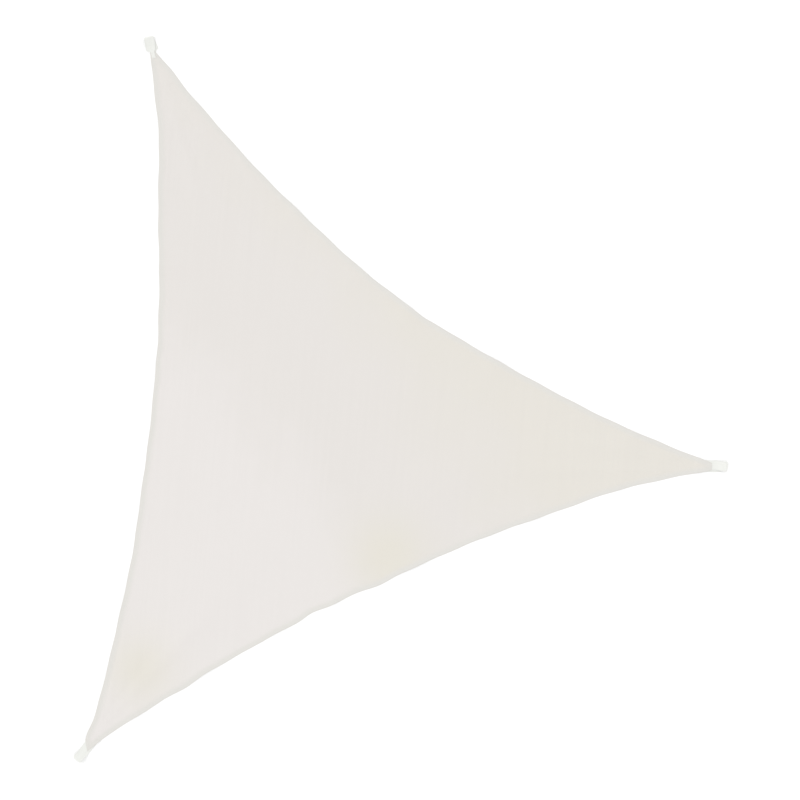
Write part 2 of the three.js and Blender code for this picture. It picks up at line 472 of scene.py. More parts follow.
# distance to the outline, or to some of its steps, the nearest point and how far round the sail that is;
# beyond is how many steps' length the first and the last one may be drawn out
def nearestEdge(points, some=slice(None), beyond=0):
    start, step = outline[some], (np.roll(outline, -1, axis=0) - outline)[some]
    low, high = np.zeros(len(start)), np.ones(len(start))
    low[0] -= beyond
    high[-1] += beyond
    lengths, travelled = (step**2).sum(axis=1), arcLengths[some]
    distance, foot, arc = np.zeros(len(points)), np.zeros((len(points), 2)), np.zeros(len(points))
    for first in range(0, len(points), blockSize):
        here = slice(first, first + blockSize)
        block = points[here]
        away = block[:, None, :] - start[None, :, :]
        share = np.clip((away * step[None]).sum(axis=2) / lengths, low, high)
        gaps = away - share[:, :, None] * step[None]
        nearest = (gaps**2).sum(axis=2).argmin(axis=1)
        rows = np.arange(len(block))
        gap = gaps[rows, nearest]
        distance[here] = np.linalg.norm(gap, axis=1)
        foot[here] = block - gap
        arc[here] = travelled[nearest] + share[rows, nearest] * np.sqrt(lengths[nearest])
    return distance, foot, arc


# a point is inside a ring when a line to its right crosses the ring an odd number of times
def inside(points, ring):
    following = np.roll(ring, -1, axis=0)
    odd = np.zeros(len(points), bool)
    for (x0, y0), (x1, y1) in zip(ring, following):
        if y0 != y1:
            crosses = (points[:, 1] > y0) != (points[:, 1] > y1)
            odd ^= crosses & (points[:, 0] < x0 + (points[:, 1] - y0) * (x1 - x0) / (y1 - y0))
    return odd


# rows of points beside the edge, as (distance in, step along); two of them lie under the stitching. Inside
# them is a grid, finer near the tips, in the direction of the knit; a point closer to its neighbours than
# its clearance, as a share of its step, is left out
plan = {
    "rows": [(4.5, 10), (10, 10), (15.5, 10), (19.5, 10), (23, 10), (26.2, 10), (29.5, 10),
             (40, 10), (48, 12), (59, 15), (74, 18), (92, 20)],
    "rowSlack": 0.8,
    "rowClearance": 0.3,
    "tipGrid": 8,
    "tipEnd": 200,
    "tipClearance": 0.62,
    "fieldGrid": 20,
    "fieldClearance": 0.72,
    "gridReach": 4200,
    "grain": 61.0,
}


def rowCandidates():
    rows = []
    for inset, step in plan["rows"]:
        for index in range(len(sides)):
            steps = round(sideLength(index) / step)
            points = sidePoints(index, np.linspace(0, 1, steps + 1), inset)
            points = points[inside(points, outline)]
            distance, _, _ = nearestEdge(points)
            farEnough = distance > inset - hem["foldInset"] - plan["rowSlack"]
            rows.append((points[farEnough], plan["rowClearance"] * step))
    return rows


def gridCandidates(step, near):
    angle = math.radians(plan["grain"])
    turned = np.array([[math.cos(angle), -math.sin(angle)], [math.sin(angle), math.cos(angle)]])
    ticks = np.arange(-plan["gridReach"], plan["gridReach"], step)
    grid = np.stack(np.meshgrid(ticks, ticks), axis=-1).reshape(-1, 2) @ turned.T
    grid = grid[inside(grid, outline)]
    atTip = fromNearestTip(grid) < plan["tipEnd"]
    return grid[atTip == near]


# points between a mitre's two ends
def mitrePoints(inner, outer):
    crossing = outline[outer] - hemLine[inner]
    steps = round(np.linalg.norm(crossing) / plan["tipGrid"])
    return hemLine[inner] + np.outer(np.arange(1, steps) / steps, crossing)


# the two rings, the mitres and every candidate that keeps its distance from what is there already
def planPoints(lines):
    kept = [tuple(p) for p in np.vstack([outline, hemLine, *lines])]
    cell = plan["fieldGrid"]
    cells = {}
    for x, y in kept:
        cells.setdefault((int(x // cell), int(y // cell)), []).append((x, y))
    groups = rowCandidates()
    groups.append((gridCandidates(plan["tipGrid"], True), plan["tipClearance"] * plan["tipGrid"]))
    groups.append((gridCandidates(plan["fieldGrid"], False), plan["fieldClearance"] * plan["fieldGrid"]))
    for points, clearance in groups:
        for x, y in points:
            i, j = int(x // cell), int(y // cell)
            around = [(a, b) for a in (i - 1, i, i + 1) for b in (j - 1, j, j + 1)]
            crowd = [q for place in around for q in cells.get(place, ())]
            if all((x - u) ** 2 + (y - v) ** 2 > clearance**2 for u, v in crowd):
                kept.append((x, y))
                cells.setdefault((i, j), []).append((x, y))
    return kept


def loopEdges(first, count):
    return [(first + k, first + (k + 1) % count) for k in range(count)]


# the sheet's plan as triangles that turn anticlockwise, and its points along the outline
def planMesh():
    lines = [mitrePoints(inner, outer) for inner, outer in mitres]
    points = planPoints(lines)
    edges = loopEdges(0, len(outline)) + loopEdges(len(outline), len(hemLine))
    first = len(outline) + len(hemLine)
    for (inner, outer), line in zip(mitres, lines):
        chain = [len(outline) + inner, *range(first, first + len(line)), outer]
        edges += list(zip(chain, chain[1:]))
        first += len(line)
    found = delaunay_2d_cdt([Vector(p) for p in points], edges, [], 1, 1e-4)
    vertices = np.array([tuple(v) for v in found[0]])
    faces = np.array(found[2])
    where = {original: k for k, originals in enumerate(found[3]) for original in originals}
    edgeLoop = [where[k] for k in range(len(outline))]
    corners = vertices[faces]
    first, second = corners[:, 1] - corners[:, 0], corners[:, 2] - corners[:, 0]
    clockwise = first[:, 0] * second[:, 1] - first[:, 1] * second[:, 0] < 0
    faces[clockwise] = faces[clockwise][:, ::-1]
    return vertices, faces, edgeLoop


# one layer's thickness, the heights of the middles of the two, and how the cloth is rolled over at the
# edge; knitted polyethylene doesn't fray, so the hem is turned once and its cut edge lies bare.
# drawnOut: how many steps' length a side is drawn out for the cloth folded back at its tips;
# stitched: the rows' distances in from the outline; pulledDown, pressed: how deep the rows draw the upper
# layer and how deep its cut edge is pressed, with their reaches
layers = {
    "thickness": 0.6,
    "under": 0.35,
    "over": 1.05,
    "foldSteps": 5,
    "drawnOut": 20,
    "stitched": (23.0, 29.5),
    "pulledDown": 0.1,
    "pulledReach": 2.2,
    "pressed": 0.6,
    "pressedReach": 14,
}


def outwardFrom(ring):
    run = np.roll(ring, -1, axis=0) - np.roll(ring, 1, axis=0)
    run = run / np.linalg.norm(run, axis=1)[:, None]
    return np.stack([run[:, 1], -run[:, 0]], axis=1)


# how far the turned-over layer is drawn down, by the stitch rows and by the pressing of its cut edge;
# inset is measured from the sail's outline
def stitchDip(inset):
    dip = layers["pressed"] * smooth(inset, hem["width"] - layers["pressedReach"], hem["width"])
    for row in layers["stitched"]:
        dip += layers["pulledDown"] * np.exp(-(((inset - row) / layers["pulledReach"]) ** 2))
    return dip


# distance in from the outline; in the tips, where the cloth is doubled further in, it is measured back
# from the cut edge, to every third point of its ring
def hemInset(points):
    distance, _, _ = nearestEdge(points)
    inset = distance + hem["foldInset"]
    toHem = np.linalg.norm(points[:, None, :] - hemLine[None, ::3, :], axis=2).min(axis=1)
    return np.where(inset < hem["width"], inset, hem["width"] - toHem)


# faces between closed rows of points
def strips(rows):
    faces = []
    for near, far in zip(rows, rows[1:]):
        count = len(near)
        faces += [(near[k], far[k], far[(k + 1) % count], near[(k + 1) % count]) for k in range(count)]
    return faces


# places in the flat cut of turned-over cloth, mirrored about the outline or about one side drawn out
def turnedOver(points, foldRadius, some=slice(None), beyond=0):
    distance, foot, _ = nearestEdge(points, some, beyond)
    return foot + (foot - points) * (1 + math.pi * foldRadius / np.maximum(distance, 1))[:, None]


# the side that turned-over cloth belongs to: at a tip, the mitre parts the two that meet there
def ownSide(points):
    outer = np.array([outline[end] for _, end in mitres])
    run = outer - np.array([hemLine[end] for end, _ in mitres])
    tip = np.linalg.norm(points[:, None, :] - outer[None], axis=2).argmin(axis=1)
    away = points - outer[tip]
    beyond = run[tip, 0] * away[:, 1] - run[tip, 1] * away[:, 0] > 0
    return np.where(beyond, (tip + 1) % len(sides), tip)


# the middle of the sheet, before it gets its thickness: one layer in the plan, the layer that is turned
# over above it, and the roll of the fold that joins the two round the edge
def sheetGeometry():
    points, faces, edgeLoop = planMesh()
    print("plan of the sheet:", len(points), "points,", len(faces), "faces")
    distance, _, arc = nearestEdge(points)
    relief = clothRelief(points, distance, arc)
    turned = ~inside(points[faces].mean(axis=1), hemLine)
    band = np.unique(faces[turned])
    overhead = np.full(len(points), -1)
    overhead[band] = len(points) + np.arange(len(band))

    # each block of vertices: place in the plan, height, place in the flat cut, distance from the edge
    blocks = [(points, layers["under"] + relief, points, distance)]
    foldRadius = (layers["over"] - layers["under"]) / 2
    mirrored = turnedOver(points[band], foldRadius)
    dip = stitchDip(hemInset(points[band]))
    blocks.append((points[band], layers["over"] + relief[band] - dip, mirrored, distance[band]))
    total = len(points) + len(band)

    def addRow(place, height, flat, apart):
        nonlocal total
        blocks.append((place, height, flat, np.full(len(place), apart)))
        total += len(place)
        return list(range(total - len(place), total))

    ring, outward = points[edgeLoop], outwardFrom(points[edgeLoop])
    fold = [edgeLoop]
    for k in range(1, layers["foldSteps"]):
        turn = math.pi * (k / layers["foldSteps"] - 0.5)
        middle = layers["under"] + foldRadius
        place = ring + outward * foldRadius * math.cos(turn)
        flat = ring + outward * foldRadius * (turn + math.pi / 2)
        fold.append(addRow(place, middle + foldRadius * math.sin(turn) + relief[edgeLoop], flat, 0))
    fold.append([int(overhead[k]) for k in edgeLoop])

    place = np.vstack([block[0] for block in blocks]) + placing
    height = np.concatenate([block[1] for block in blocks])
    flat = np.vstack([block[2] for block in blocks])
    apart = np.concatenate([block[3] for block in blocks])
    allFaces = [tuple(int(v) for v in face) for face in faces]
    allFaces += [tuple(int(v) for v in overhead[face][::-1]) for face in faces[turned]]
    allFaces += strips(fold)

    # a corner of a turned-over face takes its place in the cut from the side that the face belongs to
    flatCorners = flat[[v for face in allFaces for v in face]]
    owner = np.repeat(ownSide(points[faces[turned]].mean(axis=1)), 3)
    corners = faces[turned][:, ::-1].ravel()
    firstTurned = 3 * len(faces)
    for index in range(len(sides)):
        mine = owner == index
        foldedBack = turnedOver(points[corners[mine]], foldRadius, ownRun(index), layers["drawnOut"])
        flatCorners[firstTurned + np.flatnonzero(mine)] = foldedBack
    return np.column_stack([place, height]) * mm, allFaces, flatCorners * mm, apart * mm


# where the dye is a little warmer: place and reach in the plan, share
warmPatches = [
    ((405, 250), 165, 0.9),
    ((1765, 260), 190, 1.05),
    ((2640, 400), 260, 0.6),
    ((2420, 790), 330, 0.42),
]


def warmth(places):
    share = np.zeros(len(places))
    for centre, reach, strength in warmPatches:
        away = np.linalg.norm(places / mm - placing - np.array(centre, float), axis=1)
        share = np.maximum(share, strength * np.exp(-((away / reach) ** 2)))
    return share


# places in the cut, turned so that the knit's columns run along the second coordinate
def cutCoordinates(flat):
    angle = math.radians(plan["grain"] - 90)
    turned = np.array([[math.cos(angle), math.sin(angle)], [-math.sin(angle), math.cos(angle)]])
    return flat @ turned.T


# coordinates are given for each corner of each face
def setUv(mesh, name, coordinates):
    mesh.uv_layers.new(name=name).data.foreach_set("uv", coordinates.ravel())


def setAttribute(mesh, name, values):
    mesh.attributes.new(name, "FLOAT", "POINT").data.foreach_set("value", values)


# the piece as it looks with its modifiers, as a plain mesh in its place
def finished(piece):
    graph = bpy.context.evaluated_depsgraph_get()
    mesh = bpy.data.meshes.new_from_object(piece.evaluated_get(graph))
    name = piece.name
    old = piece.data
    bpy.data.objects.remove(piece)
    bpy.data.meshes.remove(old)
    mesh.name = name
    result = bpy.data.objects.new(name, mesh)
    bpy.context.collection.objects.link(result)
    return result


sharpFrom = 45  # degrees


# faces that meet at a sharp angle keep their own shading
def crisp(piece):
    piece.data.set_sharp_from_angle(angle=math.radians(sharpFrom))
    return piece


def sheetPiece(material):
    vertices, faces, flat, apart = sheetGeometry()
    sheet = meshObject("sail_sheet", vertices, faces, material)
    cut = cutCoordinates(flat)
    setUv(sheet.data, "flatCloth", cut)
    setAttribute(sheet.data, "fromEdge", apart)
    setAttribute(sheet.data, "warmth", warmth(vertices[:, :2]))
    area = sum(polygon.area for polygon in sheet.data.polygons)
    solid = sheet.modifiers.new("thickness", "SOLIDIFY")
    solid.thickness = layers["thickness"] * mm
    solid.offset = 0
    return crisp(finished(sheet)), np.ptp(cut, axis=0), area


# steps along and across a strap, and the turns of its rounded edge in degrees; mouth: how far out its runs
# part; opening: where it widens from its sewn width; slopeShape: how soon the upper run comes down;
# overCloth: the gap above the cloth; rolled: how far past the mouth the roll starts, and how far short of
# the bend it is full; creaseStart, creaseEnd: where a crease comes up and dies out, from its two ends;
# waver, waverLength: how the width varies; roundness: how square the bend's corners stay; lowest: how near
# the ground a strap may lie
strapShape = {
    "step": 3,
    "noseSteps": 14,
    "slopeSteps": 26,
    "acrossSteps": 18,
    "edgeTurns": (30, 60, 90),
    "mouth": 12,
    "opening": (2, 16),
    "slopeShape": 1.1,
    "overCloth": 0.1,
    "rolled": (6, 20),
    "creaseStart": (-12, 6),
    "creaseEnd": (-8, 12),
    "waver": 0.35,
    "waverLength": 17,
    "roundness": 5,
    "lowest": 0.02,
}


# stations of a strap's middle line: along, up, width, sideways lean, how far it is on the upper run
def strapStations(corner):
    low = webbing["thickness"] / 2
    clothTop = layers["over"] + layers["thickness"] / 2
    overCloth = clothTop + strapShape["overCloth"] if corner["over"] else 0
    high = low + webbing["thickness"] + webbing["gap"] + overCloth
    radius = webbing["loopHeight"] / 2 - low
    nose = corner["reach"] - radius - low
    crown = low + 2 * radius
    mouth = strapShape["mouth"]
    rows = []

    def addStation(along, up, sewnWidth, leans, upper):
        opening = float(smooth(along, *strapShape["opening"]))
        width = sewnWidth + (webbing["width"] - sewnWidth) * opening
        loosened = float(smooth(along, mouth, nose))
        lean = (leans[0] + (leans[1] - leans[0]) * opening) * (1 - loosened) + corner["noseLean"] * loosened
        rows.append((along, up, width, lean, upper))

    start = -corner["lower"][0]
    for along in np.linspace(start, nose, round((nose - start) / strapShape["step"]) + 1):
        addStation(along, low, corner["lower"][1], corner["lowerLean"], 0)
    for k in range(1, strapShape["noseSteps"]):
        turn = math.pi * (k / strapShape["noseSteps"] - 0.5)
        along, up = nose + radius * math.cos(turn), low + radius * (1 + math.sin(turn))
        addStation(along, up, webbing["width"], (0, 0), 0.5 + turn / math.pi)
    for k in range(strapShape["slopeSteps"] + 1):
        share = k / strapShape["slopeSteps"]
        up = high + (crown - high) * float(smooth((1 - share) ** strapShape["slopeShape"]))
        addStation(nose + (mouth - nose) * share, up, corner["upper"][1], corner["upperLean"], 1)
    end = -corner["upper"][0]
    for along in np.linspace(mouth, end, round((mouth - end) / strapShape["step"]) + 1)[1:]:
        addStation(along, high, corner["upper"][1], corner["upperLean"], 1)
    return np.array(rows)


# how far a strap's upper run is let down by its roll to one side and by creases along it
def creaseDepth(corner, sideways, along, upper):
    rollStart, rollEnd = strapShape["rolled"]
    rolled = float(smooth(along, strapShape["mouth"] + rollStart, corner["reach"] - rollEnd))
    depth = corner["roll"] * upper * rolled * sideways / (webbing["width"] / 2)
    for place, start, end, reach, deepest in corner["creases"]:
        begun = float(smooth(along, *(start + shift for shift in strapShape["creaseStart"])))
        ended = float(smooth(along, *(end + shift for shift in strapShape["creaseEnd"])))
        depth += upper * (begun * (1 - ended)) * deepest * np.exp(-(((sideways - place) / reach) ** 2))
    return depth


# half of a strap's section, edge to edge, as places across and heights above its middle
def sectionHalf(width):
    half, thick = width / 2, webbing["thickness"] / 2
    flat = np.linspace(half - thick, -(half - thick), strapShape["acrossSteps"] + 1)
    places, heights = list(flat), [thick] * len(flat)
    for turn in strapShape["edgeTurns"]:
        places.append(-(half - thick) - thick * math.sin(math.radians(turn)))
        heights.append(thick * math.cos(math.radians(turn)))
    return np.array(places), np.array(heights)


# a strap is its section carried along the stations, with a flat face at each end
def strapPiece(name, material):
    corner = loops[name]
    stations = strapStations(corner)
    line = stations[:, :2]
    run = np.gradient(line, axis=0)
    run /= np.linalg.norm(run, axis=1)[:, None]
    outer = np.stack([run[:, 1], -run[:, 0]], axis=1)
    travelled = travelledAlong(line)
    nose = corner["reach"] - webbing["loopHeight"] / 2
    rings, coordinates = [], []
    for k, (along, up, width, lean, upper) in enumerate(stations):
        wavering = strapShape["waver"] * math.sin(travelled[k] / strapShape["waverLength"])
        places, heights = sectionHalf(width + wavering)
        places = np.concatenate([places, -places])
        heights = np.concatenate([heights, -heights])
        edge = np.abs(places) / (webbing["width"] / 2)
        loosened = float(smooth(along, strapShape["mouth"], nose))
        rounding = corner["round"] * edge ** strapShape["roundness"]
        shifted = along + loosened * (corner["skew"] * places - rounding)
        lifted = heights - creaseDepth(corner, places, along, upper)
        alongAll = shifted + outer[k, 0] * lifted
        rings.append((alongAll, places + lean, up + outer[k, 1] * lifted))
        coordinates += [(place, travelled[k]) for place in places]
    count = len(rings[0][0])
    vertices = []
    for alongAll, sideways, up in rings:
        inPlan = fromCorner(name, alongAll, sideways) + placing
        vertices += [(x * mm, y * mm, max(z, strapShape["lowest"]) * mm) for (x, y), z in zip(inPlan, up)]
    faces = strips([range(first, first + count) for first in range(0, len(vertices), count)])
    faces += [tuple(range(count)), tuple(reversed(range(len(vertices) - count, len(vertices))))]
    piece = meshObject(f"strap_{name}", vertices, faces, material)
    setUv(piece.data, "alongStrap", np.array([coordinates[v] for face in faces for v in face]) * mm)
    return crisp(piece)


# stitches: length and thickness of each, and how unevenly they are set; real ones are 4 to 5 mm long
# and 0.6 mm thick, and these are drawn coarser so that the rows show. spread: the smallest and the largest,
# as shares of the size; tipInset, tipRun: how far in and over what length the tips' edges are sewn down;
# pathStep, boxStep: the steps of the lines that they are sewn along
stitching = {
    "rows": {"pitch": 7.0, "length": 5.2, "width": 1.05, "height": 0.65, "wander": 5.0, "seed": 11},
    "boxes": {"pitch": 5.0, "length": 3.8, "width": 1.0, "height": 0.7, "wander": 7.0, "seed": 23},
    "spread": (0.88, 1.1),
    "rise": 0.1,
    "tipInset": 9,
    "tipRun": (10, 158),
    "pathStep": 5,
    "boxStep": 4,
}

# sewn boxes with a cross, in each strap's own frame: outer and inner end, half width
boxes = {
    "left": {"along": (-9, -50), "half": 13},
    "right": {"along": (-12, -54), "half": 14},
    "top": {"along": (-4, -24), "half": 6},
}


# each stitch is a small bead along its row, swung and sized a little unevenly
def stitchTree(thread):
    tree = bpy.data.node_groups.new("stitchRow", "GeometryNodeTree")
    tree.is_modifier = True
    tree.interface.new_socket("Geometry", in_out="INPUT", socket_type="NodeSocketGeometry")
    for name in ("pitch", "length", "width", "height", "wander"):
        tree.interface.new_socket(name, in_out="INPUT", socket_type="NodeSocketFloat")
    tree.interface.new_socket("seed", in_out="INPUT", socket_type="NodeSocketInt")
    tree.interface.new_socket("Geometry", in_out="OUTPUT", socket_type="NodeSocketGeometry")
    given = addNode(tree, "NodeGroupInput").outputs
    path = addNode(tree, "GeometryNodeMeshToCurve", links={"Mesh": given["Geometry"]})
    even = addNode(
        tree,
        "GeometryNodeResampleCurve",
        links={"Curve": path.outputs[0], "Length": given["pitch"]},
        mode="LENGTH",
    )
    tangent = addNode(tree, "GeometryNodeInputTangent")
    lined = addNode(
        tree,
        "FunctionNodeAlignRotationToVector",
        links={"Vector": tangent.outputs[0]},
        axis="X",
        pivot_axis="Z",
    )
    halfTurn = addNode(tree, "ShaderNodeMath", {0: -1.0}, {1: given["wander"]}, operation="MULTIPLY")
    low = addNode(tree, "ShaderNodeCombineXYZ", links={"Z": halfTurn.outputs[0]})
    high = addNode(tree, "ShaderNodeCombineXYZ", links={"Z": given["wander"]})
    sway = addNode(
        tree,
        "FunctionNodeRandomValue",
        links={0: low.outputs[0], 1: high.outputs[0], "Seed": given["seed"]},
        data_type="FLOAT_VECTOR",
    )
    swung = addNode(
        tree, "FunctionNodeRotateRotation", links={"Rotation": lined.outputs[0]}, rotation_space="LOCAL"
    )
    asTurn = addNode(tree, "FunctionNodeEulerToRotation", links={"Euler": sway.outputs[0]})
    tree.links.new(asTurn.outputs[0], swung.inputs["Rotate By"])
    bead = addNode(tree, "GeometryNodeMeshUVSphere", {"Segments": 6, "Rings": 4, "Radius": 0.5})
    size = addNode(
        tree,
        "ShaderNodeCombineXYZ",
        links={"X": given["length"], "Y": given["width"], "Z": given["height"]},
    )
    least, most = stitching["spread"]
    spread = addNode(
        tree, "FunctionNodeRandomValue", {2: least, 3: most}, {"Seed": given["seed"]}, data_type="FLOAT"
    )
    uneven = addNode(
        tree,
        "ShaderNodeVectorMath",
        links={0: size.outputs[0], "Scale": spread.outputs[1]},
        operation="SCALE",
    )
    placed = addNode(
        tree,
        "GeometryNodeInstanceOnPoints",
        links={
            "Points": even.outputs[0],
            "Instance": bead.outputs["Mesh"],
            "Rotation": swung.outputs[0],
            "Scale": uneven.outputs[0],
        },
    )
    real = addNode(tree, "GeometryNodeRealizeInstances", links={0: placed.outputs[0]})
    soft = addNode(tree, "GeometryNodeSetShadeSmooth", links={0: real.outputs[0]})
    dressed = addNode(tree, "GeometryNodeSetMaterial", {"Material": thread}, {"Geometry": soft.outputs[0]})
    addNode(tree, "NodeGroupOutput", links={0: dressed.outputs[0]})
    return tree


# paths are lists of places with a mark for the closed ones; sizes go to the tree's inputs
def stitchPiece(name, paths, tree, sizes):
    vertices, edges = [], []
    for path, closed in paths:
        first = len(vertices)
        vertices += [tuple(p) for p in path]
        edges += [(first + k, first + k + 1) for k in range(len(path) - 1)]
        if closed:
            edges.append((first + len(path) - 1, first))
    mesh = bpy.data.meshes.new(name)
    mesh.from_pydata(vertices, edges, [])
    piece = bpy.data.objects.new(name, mesh)
    bpy.context.collection.objects.link(piece)
    sewn = piece.modifiers.new("stitches", "NODES")
    sewn.node_group = tree
    for socket in tree.interface.items_tree:
        if socket.in_out == "INPUT" and socket.name in sizes:
            # a seed is a whole number, wander is in degrees and the rest are in millimetres
            unit = {"seed": 1, "wander": math.radians(1)}.get(socket.name, mm)
            sewn[socket.identifier] = sizes[socket.name] * unit
    return finished(piece)


# the surfaces that stitches are sewn through
def sewnSurface(pieces):
    vertices, faces = [], []
    for piece in pieces:
        faces += [[len(vertices) + v for v in polygon.vertices] for polygon in piece.data.polygons]
        vertices += [v.co.copy() for v in piece.data.vertices]
    return BVHTree.FromPolygons(vertices, faces)


# places on top of the pieces at points of the plan, in metres
def onTop(surface, points):
    places = []
    for x, y in (points + placing) * mm:
        hit = surface.ray_cast(Vector((x, y, 1)), Vector((0, 0, -1)))[0]
        places.append((x, y, hit.z + stitching["rise"] * mm))
    return places


# the rows round the hem, and beside the edges of the tips
def hemPaths(surface):
    step = stitching["pathStep"]
    paths = [(onTop(surface, ringAt(row, step)), True) for row in layers["stitched"]]
    begin, end = stitching["tipRun"]
    for index, side in enumerate(sides):
        length = sideLength(index)
        starts = (side["startCut"] + begin, length - end)
        ends = (end, length - side["endCut"] - begin)
        for start, stop in zip(starts, ends):
            t = np.linspace(start, stop, round((stop - start) / step)) / length
            paths.append((onTop(surface, sidePoints(index, t, stitching["tipInset"])), False))
    return paths


# the four edges of a sewn box and its cross
def boxPaths(surface, name):
    outer, inner = boxes[name]["along"]
    half = boxes[name]["half"]
    corners = [(outer, -half), (outer, half), (inner, half), (inner, -half)]
    lines = [(corners[k], corners[(k + 1) % 4]) for k in range(4)]
    lines += [(corners[0], corners[2]), (corners[1], corners[3])]
    paths = []
    for start, end in lines:
        line = np.linspace(start, end, max(2, round(math.dist(start, end) / stitching["boxStep"])))
        paths.append((onTop(surface, fromCorner(name, line[:, 0], line[:, 1])), False))
    return paths


# high-density polyethylene yarn, warp-knitted: matt, off-white, with fine columns and small gaps between
# them. column, loop, slant, wander and shownColumn are the knit's measures in millimetres; paleFrom to
# warmest are places along towardsRight, and doubledTo and singleFrom distances from the edge, in metres
clothLook = {
    "base": "#e9e5e1",
    # the pale colour is painted light: the cloth turns to it towards the left tip
    "pale": "#ece8e5",
    "warm": "#e8e4da",
    # the hem colour is painted shade: the doubled hem lets less light from the pale ground through
    "hem": "#e5e3de",
    "column": 3.2,
    "loop": 2.4,
    "slant": 0.9,
    "wander": 1.2,
    "shownColumn": 11.0,
    "roughness": 0.82,
    "towardsRight": (0.973, 0.231, 0),
    "cloudScale": 2.1,
    "cloudDepth": 0.16,
    "paleFrom": -0.20,
    "palest": -0.56,
    "warmFrom": 0.2,
    "warmest": 0.7,
    "warmShare": 0.62,
    "doubledTo": 0.009,
    "singleFrom": 0.037,
    "loopShare": 0.45,
    # the gap shades are painted shade that darkens the knit's gaps
    "gapPaintedShades": (0.90, 1.03),
    "streakShades": (0.993, 1.007),
}


# a wave between 0 and 1 along a coordinate in metres, from crest to crest in millimetres
def waveOf(tree, coordinate, pitch):
    phase = addNode(
        tree, "ShaderNodeMath", {1: 2 * math.pi / (pitch * mm)}, {0: coordinate}, operation="MULTIPLY"
    ).outputs[0]
    crest = addNode(tree, "ShaderNodeMath", links={0: phase}, operation="COSINE").outputs[0]
    return addNode(
        tree, "ShaderNodeMath", {1: 0.5, 2: 0.5}, {0: crest}, operation="MULTIPLY_ADD"
    ).outputs[0]


# a colour darkened or lightened by two shades
def shaded(tree, colour, first, second):
    both = addNode(
        tree, "ShaderNodeMath", links={0: first.outputs[0], 1: second.outputs[0]}, operation="MULTIPLY"
    )
    return addNode(
        tree, "ShaderNodeVectorMath", links={0: colour, "Scale": both.outputs[0]}, operation="SCALE"
    )


